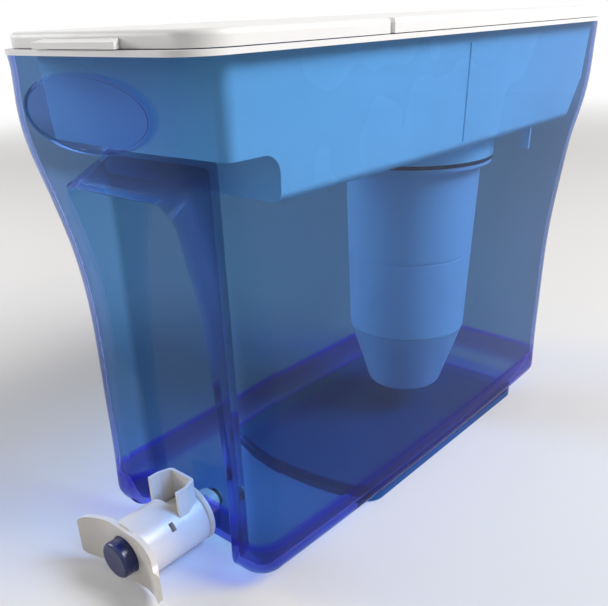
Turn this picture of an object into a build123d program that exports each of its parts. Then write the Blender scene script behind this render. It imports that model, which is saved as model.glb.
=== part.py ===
from build123d import *
import math
import os

os.makedirs("parts", exist_ok=True)

# Sizes in millimetres. X is the width, Y the length with the tap end at -Y, Z is up,
# and Z = 0 is the underside of the base that the dispenser stands on.

# Reservoir
RIM_Z = 256.0
RIM_HALF_W = 69.25
RIM_HALF_L = 186.3
SIDE_DRAFT = 1.5
SIDE_BOW = 2.7
END_BOW = 2.4
RIM_CORNER = 17.4
LOW_CORNER = 14.0
WALL = 2.8
UNDERSIDE_Z = 7.0
FLOOR_T = 2.5
BASE_ROUND = 9.0
FOOT_H = 20.0
FOOT_THICKER = 4.5
FOOT_ROUND = 5.0

# Inset of the front and the back face, by depth below the rim: the two S curves of the ends.
END_CURVES = [
    (156.0, 19.2, 37.0),
    (128.0, 19.0, 35.0),
    (106.0, 17.3, 30.0),
    (84.0, 13.5, 23.4),
    (66.0, 9.0, 16.0),
    (52.0, 5.0, 7.5),
    (40.0, 1.8, 2.0),
    (28.0, 0.0, 0.0),
    (16.0, 0.0, 0.0),
]
# Insets below the curves: halfway down, at the ankles and at the underside.
MID_FRONT_IN = 18.85
MID_BACK_IN = 36.35
ANKLE_H = 23.0
ANKLE_FRONT_IN = 18.2
ANKLE_BACK_IN = 35.0
LOW_FRONT_IN = 17.6
LOW_BACK_IN = 34.2

# Base plinth, which is the sump of the reservoir
PLINTH_SIDE_IN = 6.45
PLINTH_FRONT_IN = 107.3
PLINTH_BACK_IN = 68.3
PLINTH_BOW = 12.0
PLINTH_CORNER = 12.0
PLINTH_ROUND = 1.6
PLINTH_FLOOR = 2.6

# Arch recess in the front
PANEL_IN = 33.3
PANEL_SIDE_IN = 34.75
PANEL_DROP = 45.0
PANEL_FLARE = 0.6
PANEL_CORNER = 2.0
ARCH_REACH = 13.7
ARCH_LOW_IN = 9.0
ARCH_KNEE_IN = 24.0
ARCH_TOP_IN = 29.25
ARCH_DROP = 63.3
ARCH_SHOULDER = 22.7
ARCH_KNEE = 64.7
ARCH_SPRING = 122.7
ARCH_CORNER = 20.0
ARCH_ROUND = 1.3

# Oval pad on the front band
BADGE_SIDE_IN = 25.55
BADGE_HALF_H = 15.5
BADGE_DROP = 21.2
BADGE_ROOT = 2.2
BADGE_PROUD = 0.6
BADGE_EDGE_W = 1.6
BADGE_EDGE_T = 0.6

# Hopper and the white frame that carries it
FRAME_T = 2.2
FRAME_OVER = 0.4
HOPPER_WALL = 1.8
HOPPER_FLOOR_T = 2.0
HOPPER_GAP = 1.85
HOPPER_DEPTH = 59.0
HOPPER_FRONT_IN = 16.8
HOPPER_BACK_IN = 8.3
HOPPER_CORNER = 6.0
HOPPER_BOW = 2.0
HOPPER_DRAFT = 1.4
HOPPER_FRONT_DRAFT = 2.0
HOPPER_BACK_DRAFT = 20.5
HOPPER_KNEE_DEPTH = 34.0
HOPPER_KNEE_IN = 4.0
HOPPER_ROUND = 5.0
STEP_DEPTH = 38.0
STEP_LENGTH = 31.5
STEP_ROUND = 9.0
LIP_W = 3.2
LIP_T = 1.0
LIP_GAP = 0.2
GROOVE_Y = 6.0
GROOVE_W = 5.0
GROOVE_DEEP = 0.8
FIN_Y = 104.0
FIN_W = 5.0
FIN_T = 1.8
FIN_H = 13.0
SKIRT_OVER = 6.8
SKIRT_WALL = 2.2
SKIRT_H = 13.0

# Lid and fill door
LID_GAP = 0.4
LID_H = 6.2
LID_SKIN = 2.0
LID_RIM = 2.4
LID_EDGE = 2.4
LID_RIB_GAP = 1.55
LID_RIB_T = 1.6
LID_RIB_H = 5.0
LID_RIB_BACK = 20.0
SEAM_IN = 114.3
HINGE_R = 2.9
HINGE_GAP = 0.5
KNUCKLE_GAP = 0.5
PIN_R = 1.1
PIN_GAP = 0.15
PIN_L = 22.0
PIN_BORE_L = 33.0
LUG_IN = 25.25
LUG_W = 6.0
LUG_GAP = 0.4
BARREL_IN = 2.2
DOOR_SET_BACK = 3.6
TAB_OUT = 1.3
TAB_L = 13.6
TAB_HALF_W = 28.0
TAB_TAPER = 9.0
TAB_EDGE = 2.4

# Filter
FILTER_Y = 57.5
CUP_TOP_R = 44.2
CUP_LOW_R = 40.3
CUP_WALL = 1.8
CUP_DROP = 7.0
CUP_GROOVE_UP = 52.5
CUP_GROOVE_W = 1.8
CUP_GROOVE_DEEP = 0.9
CUP_FLANGE_IN = 0.6
CUP_FLANGE_T = 2.1
SEAL_T = 2.3
SEAT_GAP = 0.05
SHOULDER_W = 13.4
SHOULDER_T = 3.0
NECK_WALL = 2.2
NECK_H = 10.0
NECK_GAP = 0.6
BAYONET_OUT = 4.7
BAYONET_W = 13.0
BAYONET_T = 3.0
BAYONET_GAP = 0.35
COLLAR_OUT = 14.2
COLLAR_T = 3.0
COLLAR_H = 2.5
FILTER_UP = 10.0
TIP_H = 47.0
TIP_TAPER = 14.1
TIP_ROUND = 2.2
TIP_GAP = 0.5
SPIGOT_H = 4.0
SPIGOT_T = 1.4
SPIGOT_GAP = 0.4
OUTLET_ROWS = ((8.0, 6), (18.0, 12))
OUTLET_R = 1.6
FOAM_T = 11.0
FOAM_DROP = 6.0
FILL_GAP = 0.3
SCREEN_T = 2.0
GRILLE_T = 2.0
GRILLE_SLOTS = 12
GRILLE_SLOT_W = 2.6
KNOB_R = 5.5
KNOB_H = 4.5

# Tap, along its own axis from the panel of the recess outwards
TAP_UP = 9.0
STUD_R = 5.5
STUD_L = 10.0
BORE_R = 3.3
HOLE_GAP = 0.3
WASHER_T = 2.4
WASHER_R = 10.8
INNER_WASHER_T = 1.6
NUT_R = 8.1
NUT_L = 6.0
NUT_NOTCH = 2.4
NUT_NOTCHES = 6
FIT_GAP = 0.05
TAP_FLANGE_T = 3.4
TAP_FLANGE_ROUND = 2.2
TAP_FLANGE_OVER = 0.4
SLEEVE_R = 17.1
SLEEVE_L = 40.8
SLEEVE_GAP = 0.4
VALVE_R = 12.4
VALVE_BORE_R = 9.0
VALVE_SHORT = 5.0
CHAMBER_END = 2.0
RING_W = 1.0
RING_FROM_END = 2.5
RING_DEEP = 0.6
SLEEVE_SEAL_W = 1.6
SLEEVE_SEAL_DEEP = 1.0
SLEEVE_SEAL_FROM = 3.0
GROOVE_SLACK = 0.1
OUTLET_FROM = 9.2
OUTLET_W = 9.0
OUTLET_L = 7.0
PLATE_T = 3.2
WING_HALF_W = 34.4
WING_SWEEP = 6.6
WING_HALF_H = 15.8
WING_TIP_HALF_H = 12.0
WING_ROUND = 8.0
WING_TIP_SLANT = 1.76
WING_TIP_T = 2.08
WING_FRONT_BEND = 1.47
WING_BACK_BEND = 1.65
SPOUT_H = 28.0
SPOUT_SET_OFF = 0.7
SPOUT_BACK_HALF_W = 9.4
SPOUT_FRONT_HALF_W = 12.2
SPOUT_L = 14.7
SPOUT_KNEE = 8.1
SPOUT_WALL = 1.7
SPOUT_ROUND = 3.0
WINDOW_FROM = 6.4
WINDOW_L = 3.0
WINDOW_W = 5.0
WINDOW_DEEP = 8.0
WINDOW_TURN = 39.0
BUTTON_R = 10.3
BUTTON_OUT = 7.8
BUTTON_ROUND = 1.8
BUTTON_BACK_GAP = 0.5
PLUG_GAP = 0.4
PLUG_IN = 14.0
STEM_R = 2.0
STEM_IN_BUTTON = 8.0
STEM_PAST_STUD = 4.2
VALVE_SEAL_R = 5.3
VALVE_SEAL_T = 2.55
RETAINER_R = 3.6
RETAINER_T = 1.35
SPRING_TURNS = 5
SPRING_R = 6.2
SPRING_WIRE_R = 0.6
SPRING_SEAT_GAP = 0.3

# Places that follow from the sizes
FLOOR_Z = UNDERSIDE_Z + FLOOR_T
FOOT_TOP = UNDERSIDE_Z + FOOT_H
PANEL_Y = -RIM_HALF_L + PANEL_IN
LIP_Z = RIM_Z + FRAME_T - LIP_T
HOPPER_FLOOR = RIM_Z - HOPPER_DEPTH
HOPPER_FRONT = -RIM_HALF_L + HOPPER_FRONT_IN
HOPPER_BACK = RIM_HALF_L - HOPPER_BACK_IN
LID_Z = RIM_Z + FRAME_T + LID_GAP
LID_TOP = LID_Z + LID_H
SEAM_Y = -RIM_HALF_L + SEAM_IN
HINGE_Z = LID_Z + LID_H / 2
LUG_X = RIM_HALF_W - LUG_IN
TAB_FRONT = -RIM_HALF_L - TAB_OUT
NECK_R = CUP_TOP_R - SHOULDER_W
BAYONET_R = NECK_R + BAYONET_OUT
SKIRT_R = CUP_TOP_R + SKIRT_OVER
SKIRT_Z = HOPPER_FLOOR - SKIRT_H
SEAL_LOW = SKIRT_Z - SEAT_GAP - SEAL_T
CUP_TOP_Z = HOPPER_FLOOR - CUP_DROP
FILTER_BOTTOM = FLOOR_Z + FILTER_UP
CUP_LOW_Z = FILTER_BOTTOM + TIP_H
TIP_LOW_R = CUP_LOW_R - TIP_TAPER
SCREEN_Z = CUP_LOW_Z - TIP_GAP + SPIGOT_H + FILL_GAP
FOAM_LOW = CUP_TOP_Z - FOAM_DROP - FOAM_T
TAP_Z = FLOOR_Z + TAP_UP
STUD_END = PANEL_Y + WALL + STUD_L
TAP_FLANGE_R = SLEEVE_R + TAP_FLANGE_OVER
FLANGE_FRONT = PANEL_Y - WASHER_T - TAP_FLANGE_T
SLEEVE_BACK = FLANGE_FRONT - SLEEVE_GAP
PLATE_BACK = SLEEVE_BACK - SLEEVE_L
PLATE_FRONT = PLATE_BACK - PLATE_T
VALVE_END = PLATE_BACK + VALVE_SHORT
CHAMBER_BACK = FLANGE_FRONT - CHAMBER_END
PLUG_R = VALVE_BORE_R - PLUG_GAP
PLUG_BACK = PLATE_BACK + PLUG_IN
BUTTON_FRONT = PLATE_FRONT - BUTTON_OUT
SPOUT_BACK = SLEEVE_BACK - SPOUT_SET_OFF
SPOUT_FRONT = SPOUT_BACK - SPOUT_L
REACH = 2 * (RIM_HALF_L + RIM_HALF_W + RIM_Z)
ON_FLOOR = (Align.CENTER, Align.CENTER, Align.MIN)


def blend(z, low, high):
    """Value that runs from low at the underside to high at the rim."""
    share = (z - UNDERSIDE_Z) / (RIM_Z - UNDERSIDE_Z)
    return low + (high - low) * share


def outline(z, half_w, front, back, side_bow, end_bow, corner):
    """Plan of the object at one height: four bowed sides with rounded corners."""
    x = half_w - side_bow
    f = front + end_bow
    b = back - end_bow
    middle = (f + b) / 2
    sides = [
        ThreePointArc((-x, f), (0, front), (x, f)),
        ThreePointArc((x, f), (half_w, middle), (x, b)),
        ThreePointArc((x, b), (0, back), (-x, b)),
        ThreePointArc((-x, b), (-half_w, middle), (-x, f)),
    ]
    plan = make_face(sides)
    plan = fillet(plan.vertices(), corner)
    return Pos(0, 0, z) * plan


def side_cut(points):
    """Block right across the object from (length, height) points."""
    side = Plane(origin=(-REACH / 2, 0, 0), x_dir=(0, 1, 0), z_dir=(1, 0, 0))
    return extrude(side * make_face(Polyline(*points, close=True)), REACH)


def beyond(y, sign):
    """Block that holds everything beyond one place along the length."""
    return Pos(0, y + sign * REACH / 2, 0) * Box(REACH, REACH, REACH)


def shell_section(z, front_in, back_in, inset):
    """Section of the reservoir at one height, drawn in by inset."""
    half_w = RIM_HALF_W - blend(z, SIDE_DRAFT, 0) - inset
    front = -RIM_HALF_L + front_in + inset
    back = RIM_HALF_L - back_in - inset
    corner = min(RIM_CORNER, blend(z, LOW_CORNER, RIM_CORNER)) - inset
    return outline(z, half_w, front, back, SIDE_BOW, END_BOW, corner)


def end_rows():
    """Heights and insets of the ends, from the ankles up to below the rim."""
    rows = [(RIM_Z - depth, front_in, back_in) for depth, front_in, back_in in END_CURVES]
    ankle_z = UNDERSIDE_Z + ANKLE_H
    middle = ((ankle_z + rows[0][0]) / 2, MID_FRONT_IN, MID_BACK_IN)
    return [(ankle_z, ANKLE_FRONT_IN, ANKLE_BACK_IN), middle] + rows


def tank_outside():
    """Outside of the tank: S-curved ends and a rounded bottom edge."""
    rows = [(UNDERSIDE_Z, LOW_FRONT_IN, LOW_BACK_IN)] + end_rows() + [(RIM_Z, 0.0, 0.0)]
    body = loft([shell_section(z, f, b, 0.0) for z, f, b in rows])
    return fillet(body.faces().sort_by(Axis.Z)[0].edges(), BASE_ROUND)


def tank_hollow():
    """Inside of the tank, drawn in below FOOT_TOP where the walls thicken into the foot."""
    above = RIM_Z + 2 * WALL
    upper_rows = [(FOOT_TOP, LOW_FRONT_IN, LOW_BACK_IN)] + end_rows() + [(above, 0.0, 0.0)]
    upper = loft([shell_section(z, f, b, WALL) for z, f, b in upper_rows])
    floor = shell_section(FLOOR_Z, LOW_FRONT_IN, LOW_BACK_IN, WALL + FOOT_THICKER)
    foot = shell_section(FOOT_TOP, LOW_FRONT_IN, LOW_BACK_IN, WALL)
    lower = loft([floor, foot], ruled=True)
    lower = fillet(lower.faces().sort_by(Axis.Z)[0].edges(), FOOT_ROUND)
    return upper + lower


def arch_wire(y, half_w, low_half_w, knee_half_w, top, corner):
    """Outline of the recess in an upright plane: wide below, arched at the top."""
    arch_top = RIM_Z - ARCH_DROP
    low = UNDERSIDE_Z - 2 * PLINTH_FLOOR - BASE_ROUND
    spring = arch_top - ARCH_SPRING
    shoulder = arch_top - ARCH_SHOULDER
    bend = corner * (1 - math.sqrt(0.5))
    edges = [Line((-low_half_w, low), (low_half_w, low))]
    for s in (1, -1):
        knee = (s * knee_half_w, arch_top - ARCH_KNEE)
        crown = (s * (half_w - bend), top - bend)
        edges.append(Line((s * low_half_w, low), (s * low_half_w, spring)))
        edges.append(ThreePointArc((s * low_half_w, spring), knee, (s * half_w, shoulder)))
        edges.append(Line((s * half_w, shoulder), (s * half_w, top - corner)))
        edges.append(ThreePointArc((s * half_w, top - corner), crown, (s * (half_w - corner), top)))
    edges.append(Line((half_w - corner, top), (corner - half_w, top)))
    plane = Plane(origin=(0, y, 0), x_dir=(1, 0, 0), z_dir=(0, -1, 0))
    return plane * make_face(edges)


def arch_solid(grow):
    """Space of the recess, grown on its sides, its top and its back panel."""
    top_w = RIM_HALF_W - ARCH_TOP_IN + grow
    low_w = RIM_HALF_W - ARCH_LOW_IN + grow
    knee_w = RIM_HALF_W - ARCH_KNEE_IN + grow
    front_y = -RIM_HALF_L - ARCH_REACH
    front = arch_wire(front_y, top_w, low_w, knee_w, RIM_Z - ARCH_DROP + grow, ARCH_CORNER)
    half_w = RIM_HALF_W - PANEL_SIDE_IN + grow
    top = RIM_Z - PANEL_DROP + grow
    low = half_w + PANEL_FLARE
    back = arch_wire(PANEL_Y + grow, half_w, low, half_w + PANEL_FLARE * 2 / 3, top, PANEL_CORNER)
    return loft([back, front], ruled=True)


def plinth_solid(inset, low_z, high_z):
    """Base block with a bowed front, drawn in by inset."""
    x = RIM_HALF_W - PLINTH_SIDE_IN - inset
    front = -RIM_HALF_L + PLINTH_FRONT_IN + inset
    back = RIM_HALF_L - PLINTH_BACK_IN - inset
    shoulder = front + PLINTH_BOW
    sides = [
        ThreePointArc((-x, shoulder), (0, front), (x, shoulder)),
        Line((x, shoulder), (x, back)),
        Line((x, back), (-x, back)),
        Line((-x, back), (-x, shoulder)),
    ]
    plan = make_face(sides)
    plan = fillet(plan.vertices(), PLINTH_CORNER - inset)
    block = extrude(Pos(0, 0, low_z) * plan, high_z - low_z)
    return fillet(block.faces().sort_by(Axis.Z)[0].edges(), PLINTH_ROUND)


def badge_pad():
    """Bare oval pad with a raised edge on the front band."""
    origin = (0, -RIM_HALF_L + BADGE_ROOT, RIM_Z - BADGE_DROP)
    plane = Plane(origin=origin, x_dir=(1, 0, 0), z_dir=(0, -1, 0))
    half_w = RIM_HALF_W - BADGE_SIDE_IN
    oval = Ellipse(half_w, BADGE_HALF_H)
    edge = oval - Ellipse(half_w - BADGE_EDGE_W, BADGE_HALF_H - BADGE_EDGE_W)
    pad_t = BADGE_ROOT + BADGE_PROUD
    return extrude(plane * oval, pad_t) + extrude(plane * edge, pad_t + BADGE_EDGE_T)


def along_y(radius, start, end, z=TAP_Z):
    """Round bar along Y between two places on the tap's axis."""
    bar = Rot(90, 0, 0) * Cylinder(radius, abs(end - start))
    return Pos(0, (start + end) / 2, z) * bar


def ring_y(outer, inner, start, end):
    """Round tube along Y on the tap's axis."""
    return along_y(outer, start, end) - along_y(inner, start - WALL, end + WALL)


def on_arch_edge(edge):
    """True for the edges where the recess meets the outside of the front."""
    places = [edge @ share for share in (0.1, 0.5, 0.9)]
    front = -RIM_HALF_L + BADGE_ROOT
    back = PANEL_Y - 2 * WALL
    side = RIM_HALF_W - ARCH_KNEE_IN + PANEL_FLARE
    low = UNDERSIDE_Z + PLINTH_ROUND
    return all(front < p.Y < back and abs(p.X) < side and p.Z > low for p in places)


def make_reservoir():
    outer = tank_outside() + plinth_solid(0.0, 0.0, FLOOR_Z)
    body = outer - arch_solid(0.0)
    body = fillet([edge for edge in body.edges() if on_arch_edge(edge)], ARCH_ROUND)
    sump = plinth_solid(PLINTH_FLOOR, PLINTH_FLOOR, FLOOR_Z + PLINTH_FLOOR)
    hollow = (tank_hollow() - arch_solid(WALL)) + sump
    body = body + badge_pad() - hollow
    return body - along_y(STUD_R + HOLE_GAP, PANEL_Y - WALL, PANEL_Y + 2 * WALL)


def hopper_plan(z, inset, sides_in=0.0, front_in=0.0, back_in=0.0):
    """Plan of the hopper's tub at one height, drawn in by inset."""
    half_w = RIM_HALF_W - WALL - HOPPER_GAP - inset - sides_in
    front = HOPPER_FRONT + inset + front_in
    back = HOPPER_BACK - inset - back_in
    return outline(z, half_w, front, back, SIDE_BOW, HOPPER_BOW, HOPPER_CORNER - inset)


def hopper_tub(inset, floor_t):
    """Solid of the hopper's hanging tub with its shallow front step."""
    knee_share = HOPPER_KNEE_DEPTH / HOPPER_DEPTH
    sides_in = HOPPER_DRAFT * knee_share
    front_in = HOPPER_FRONT_DRAFT * knee_share
    floor_z = HOPPER_FLOOR + floor_t
    low = hopper_plan(floor_z, inset, HOPPER_DRAFT, HOPPER_FRONT_DRAFT, HOPPER_BACK_DRAFT)
    knee = hopper_plan(RIM_Z - HOPPER_KNEE_DEPTH, inset, sides_in, front_in, HOPPER_KNEE_IN)
    top = hopper_plan(RIM_Z + 2 * FRAME_T, inset)
    tub = loft([low, knee, top], ruled=True)
    tub = fillet(tub.faces().sort_by(Axis.Z)[0].edges(), HOPPER_ROUND - inset)
    return tub - step_cut(HOPPER_FRONT + STEP_LENGTH + inset, RIM_Z - STEP_DEPTH + floor_t)


def step_cut(y, z):
    """Space under the hopper's shallow front, with a rounded inner corner."""
    bend = STEP_ROUND * (1 - math.sqrt(0.5))
    far = -REACH / 4
    edges = [
        Line((far, -REACH / 4), (y, -REACH / 4)),
        Line((y, -REACH / 4), (y, z - STEP_ROUND)),
        ThreePointArc((y, z - STEP_ROUND), (y - bend, z - bend), (y - STEP_ROUND, z)),
        Line((y - STEP_ROUND, z), (far, z)),
        Line((far, z), (far, -REACH / 4)),
    ]
    side = Plane(origin=(-REACH / 2, 0, 0), x_dir=(0, 1, 0), z_dir=(1, 0, 0))
    return extrude(side * make_face(edges), REACH)


def make_rim_frame():
    """White frame on the tank's rim, with a rebate for the hopper's lip."""
    half_w = RIM_HALF_W + FRAME_OVER
    half_l = RIM_HALF_L + FRAME_OVER
    frame = extrude(outline(RIM_Z, half_w, -half_l, half_l, SIDE_BOW, END_BOW, RIM_CORNER), FRAME_T)
    opening = extrude(hopper_plan(RIM_Z - FRAME_T, -LIP_GAP), 3 * FRAME_T)
    rebate = extrude(hopper_plan(LIP_Z, -LIP_W - LIP_GAP), FRAME_T)
    return frame - opening - rebate


def hopper_seat():
    """Floor ring and hanging skirt that the filter locks into."""
    collar_r = NECK_R + COLLAR_OUT
    collar_h = HOPPER_FLOOR_T + COLLAR_H
    collar = Cylinder(collar_r, collar_h, align=ON_FLOOR)
    collar = collar - Cylinder(collar_r - COLLAR_T, 3 * collar_h)
    skirt = Cylinder(SKIRT_R, SKIRT_H + SEAT_GAP, align=ON_FLOOR)
    skirt = skirt - Cylinder(SKIRT_R - SKIRT_WALL, 3 * SKIRT_H)
    return Pos(0, FILTER_Y, HOPPER_FLOOR) * collar + Pos(0, FILTER_Y, SKIRT_Z) * skirt


def make_hopper():
    lip = extrude(hopper_plan(LIP_Z, -LIP_W), LIP_T)
    outer = hopper_tub(0.0, 0.0)
    outer = outer & Pos(0, 0, LIP_Z + LIP_T - REACH / 2) * Box(REACH, REACH, REACH)
    body = lip + outer - hopper_tub(HOPPER_WALL, HOPPER_FLOOR_T) + hopper_seat()
    hole = Cylinder(NECK_R + NECK_GAP, 6 * HOPPER_FLOOR_T)
    notch_half = BAYONET_R + HOPPER_FLOOR_T
    notch = Box(BAYONET_W + HOPPER_FLOOR_T, 2 * notch_half, 6 * HOPPER_FLOOR_T)
    body = body - Pos(0, FILTER_Y, HOPPER_FLOOR) * (hole + notch)
    face_x = RIM_HALF_W - WALL - HOPPER_GAP
    lean = math.degrees(math.atan(HOPPER_DRAFT / HOPPER_DEPTH))
    for side in (1, -1):
        cut = Rot(0, side * lean, 0) * Box(2 * GROOVE_DEEP, GROOVE_W, HOPPER_DEPTH - 2 * HOPPER_ROUND)
        body = body - Pos(side * (face_x - HOPPER_DRAFT / 2), GROOVE_Y, RIM_Z - HOPPER_DEPTH / 2) * cut
        fin = Box(FIN_W, FIN_T, FIN_H + HOPPER_FLOOR_T)
        fin_x = face_x - HOPPER_DRAFT - HOPPER_ROUND - FIN_W / 2
        body = body + Pos(side * fin_x, FIN_Y, HOPPER_FLOOR + (HOPPER_FLOOR_T - FIN_H) / 2) * fin
    return body


def lid_blank(inset, low_z, high_z, front):
    """Full lid plan as a block, before it is parted at the seam."""
    half_w = RIM_HALF_W + FRAME_OVER - inset
    back = RIM_HALF_L + FRAME_OVER - inset
    plan = outline(low_z, half_w, front + inset, back, SIDE_BOW, END_BOW, RIM_CORNER - inset)
    return extrude(plan, high_z - low_z)


def hinge_bar(x, radius, length):
    """Round bar across the object on the hinge's axis."""
    return Pos(x, SEAM_Y, HINGE_Z) * Rot(0, 90, 0) * Cylinder(radius, length)


def lid_rib():
    """Low rib under the lid that keeps it centred in the hopper's mouth."""
    inset = FRAME_OVER + WALL + HOPPER_GAP + HOPPER_WALL + LID_RIB_GAP
    low_z = LID_Z - LID_RIB_H
    outer = lid_blank(inset, low_z, LID_TOP - LID_SKIN / 2, -RIM_HALF_L)
    inner = lid_blank(inset + LID_RIB_T, low_z - LID_SKIN, LID_TOP, -RIM_HALF_L)
    start = SEAM_Y + HINGE_R + HINGE_GAP + LID_RIM + LID_RIB_T + LID_SKIN
    return (outer - inner) & beyond(start, 1) & beyond(HOPPER_BACK - LID_RIB_BACK, -1)


def make_rear_lid():
    start = SEAM_Y + HINGE_R + HINGE_GAP
    block = lid_blank(0.0, LID_Z, LID_TOP, -RIM_HALF_L) & beyond(start, 1)
    block = fillet(block.faces().sort_by(Axis.Z)[-1].edges(), LID_EDGE)
    inside = lid_blank(LID_RIM, LID_Z - LID_SKIN, LID_TOP - LID_SKIN, -RIM_HALF_L)
    body = block - (inside & beyond(start + LID_RIM, 1)) + lid_rib()
    for side in (1, -1):
        knuckle = hinge_bar(side * LUG_X, HINGE_R - KNUCKLE_GAP, LUG_W)
        reach = HINGE_R + HINGE_GAP + LID_RIM / 2
        low = HINGE_Z - HINGE_R + KNUCKLE_GAP
        bridge = Pos(side * LUG_X, SEAM_Y + reach / 2, low) * Box(LUG_W, reach, LID_RIM, align=ON_FLOOR)
        body = body + knuckle + bridge - hinge_bar(side * LUG_X, PIN_R, 2 * LUG_W)
    return body


def door_tab(inside):
    """Sloping finger tab on the front edge of the door."""
    root = TAB_FRONT + TAB_L
    low_w = TAB_HALF_W - TAB_TAPER
    face = [(-TAB_HALF_W, TAB_FRONT), (TAB_HALF_W, TAB_FRONT), (low_w, root), (-low_w, root)]
    tab = extrude(Pos(0, 0, LID_Z) * make_face(Polyline(*face, close=True)), LID_H)
    above = LID_TOP + LID_H
    low = LID_Z + TAB_EDGE
    slope = [(TAB_FRONT - TAB_L, above), (TAB_FRONT - TAB_L, low), (TAB_FRONT, low)]
    tab = tab - side_cut(slope + [(root + TAB_OUT, LID_TOP), (root + TAB_OUT, above)])
    return tab - inside


def make_door():
    front = -RIM_HALF_L + DOOR_SET_BACK
    block = lid_blank(0.0, LID_Z, LID_TOP, front) & beyond(SEAM_Y, -1)
    edge = block.faces().sort_by(Axis.Z)[-1].edges().sort_by(Axis.Y)[:-1]
    block = fillet(edge, LID_EDGE)
    inside = lid_blank(LID_RIM, LID_Z - LID_SKIN, LID_TOP - LID_SKIN, front)
    inside = inside & beyond(SEAM_Y - LID_RIM - PIN_R - HINGE_GAP, -1)
    barrel = hinge_bar(0, HINGE_R, 2 * (RIM_HALF_W - BARREL_IN))
    body = block - inside + barrel + door_tab(inside)
    for side in (1, -1):
        slot_l = 2 * (HINGE_R + HINGE_GAP) + LUG_GAP * 2
        slot = Box(LUG_W + 2 * LUG_GAP, slot_l, 3 * LID_H)
        body = body - Pos(side * LUG_X, SEAM_Y + HINGE_GAP * 2, HINGE_Z) * slot
        body = body - hinge_bar(side * LUG_X, PIN_R + PIN_GAP, PIN_BORE_L)
    return body


def make_pins():
    return Compound(children=[hinge_bar(-LUG_X, PIN_R, PIN_L), hinge_bar(LUG_X, PIN_R, PIN_L)])


def turned(points):
    """Solid turned about the filter's upright axis from (radius, height) points."""
    face = Plane.XZ * make_face(Polyline(*points, close=True))
    return Pos(0, FILTER_Y, 0) * revolve(face, Axis.Z, 360)


def cup_radius(z):
    share = (z - CUP_LOW_Z) / (CUP_TOP_Z - CUP_LOW_Z)
    return CUP_LOW_R + (CUP_TOP_R - CUP_LOW_R) * share


def inside_radius(z):
    return cup_radius(z) - CUP_WALL - FILL_GAP


def make_filter_cup():
    """Tapered cup with a flange under the seal and a shallow groove round its middle."""
    flange_r = SKIRT_R - CUP_FLANGE_IN
    flange_top = SEAL_LOW - SEAT_GAP
    flange_low = flange_top - CUP_FLANGE_T
    groove_low = CUP_LOW_Z + CUP_GROOVE_UP
    groove_top = groove_low + CUP_GROOVE_W
    groove_r = cup_radius(groove_low) - CUP_GROOVE_DEEP
    points = [
        (CUP_TOP_R, CUP_TOP_Z),
        (cup_radius(flange_top), flange_top),
        (flange_r, flange_top),
        (flange_r, flange_low),
        (cup_radius(flange_low), flange_low),
        (cup_radius(groove_top), groove_top),
        (groove_r, groove_top),
        (groove_r, groove_low),
        (cup_radius(groove_low), groove_low),
        (CUP_LOW_R, CUP_LOW_Z),
        (CUP_LOW_R - CUP_WALL, CUP_LOW_Z),
        (CUP_TOP_R - CUP_WALL, CUP_TOP_Z),
    ]
    return turned(points)


def make_filter_tip():
    """Conical lower cap with a spigot inside the cup and a ring of outlet holes."""
    t = CUP_WALL
    b = FILTER_BOTTOM
    join_z = CUP_LOW_Z - TIP_GAP
    spigot_r = CUP_LOW_R - t - SPIGOT_GAP
    points = [
        (spigot_r, join_z + SPIGOT_H),
        (spigot_r, join_z),
        (CUP_LOW_R, join_z),
        (TIP_LOW_R, b + TIP_ROUND),
        (TIP_LOW_R - TIP_ROUND, b),
        (0.0, b),
        (0.0, b + t),
        (TIP_LOW_R - TIP_ROUND - t / 2, b + t),
        (TIP_LOW_R - t, b + TIP_ROUND + t / 2),
        (spigot_r - SPIGOT_T, join_z - t),
        (spigot_r - SPIGOT_T, join_z + SPIGOT_H),
    ]
    tip = turned(points)
    for row, count in OUTLET_ROWS:
        for place in PolarLocations(row, count):
            tip = tip - Pos(0, FILTER_Y, b) * place * Cylinder(OUTLET_R, 4 * t)
    return tip


def make_filter_cap():
    """Shoulder and neck of the filter with two bayonet lugs."""
    low = CUP_TOP_Z + SEAT_GAP
    top = low + SHOULDER_T
    neck_top = HOPPER_FLOOR + NECK_H
    edge = SHOULDER_T / 4
    plug_low = low - HOPPER_FLOOR_T
    plug_r = CUP_TOP_R - CUP_WALL - SPIGOT_GAP
    points = [
        (CUP_TOP_R, low),
        (CUP_TOP_R, top - edge),
        (CUP_TOP_R - edge, top),
        (NECK_R, top),
        (NECK_R, neck_top - edge),
        (NECK_R - edge, neck_top),
        (NECK_R - NECK_WALL, neck_top),
        (NECK_R - NECK_WALL, plug_low),
        (plug_r, plug_low),
        (plug_r, low),
    ]
    lugs = Box(2 * BAYONET_R, BAYONET_W, BAYONET_T, align=ON_FLOOR) & Cylinder(BAYONET_R, 4 * BAYONET_T)
    lugs = lugs - Cylinder(NECK_R - NECK_WALL / 2, 4 * BAYONET_T)
    return turned(points) + Pos(0, FILTER_Y, HOPPER_FLOOR + HOPPER_FLOOR_T + BAYONET_GAP) * lugs


def make_filter_grille():
    """Slotted inlet disc with a knob, inside the neck."""
    disc_r = NECK_R - NECK_WALL - SEAT_GAP
    inner = KNOB_R + GRILLE_T
    outer = disc_r - 2 * GRILLE_T
    disc = Cylinder(disc_r, GRILLE_T, align=ON_FLOOR)
    slot = Pos((inner + outer) / 2, 0, 0) * Box(outer - inner, GRILLE_SLOT_W, 4 * GRILLE_T)
    for turn in range(GRILLE_SLOTS):
        disc = disc - Rot(0, 0, 360 / GRILLE_SLOTS * turn) * slot
    knob = Cylinder(KNOB_R, KNOB_H, align=ON_FLOOR)
    return Pos(0, FILTER_Y, HOPPER_FLOOR + NECK_H / 2 - GRILLE_T / 2) * (disc + knob)


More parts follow.
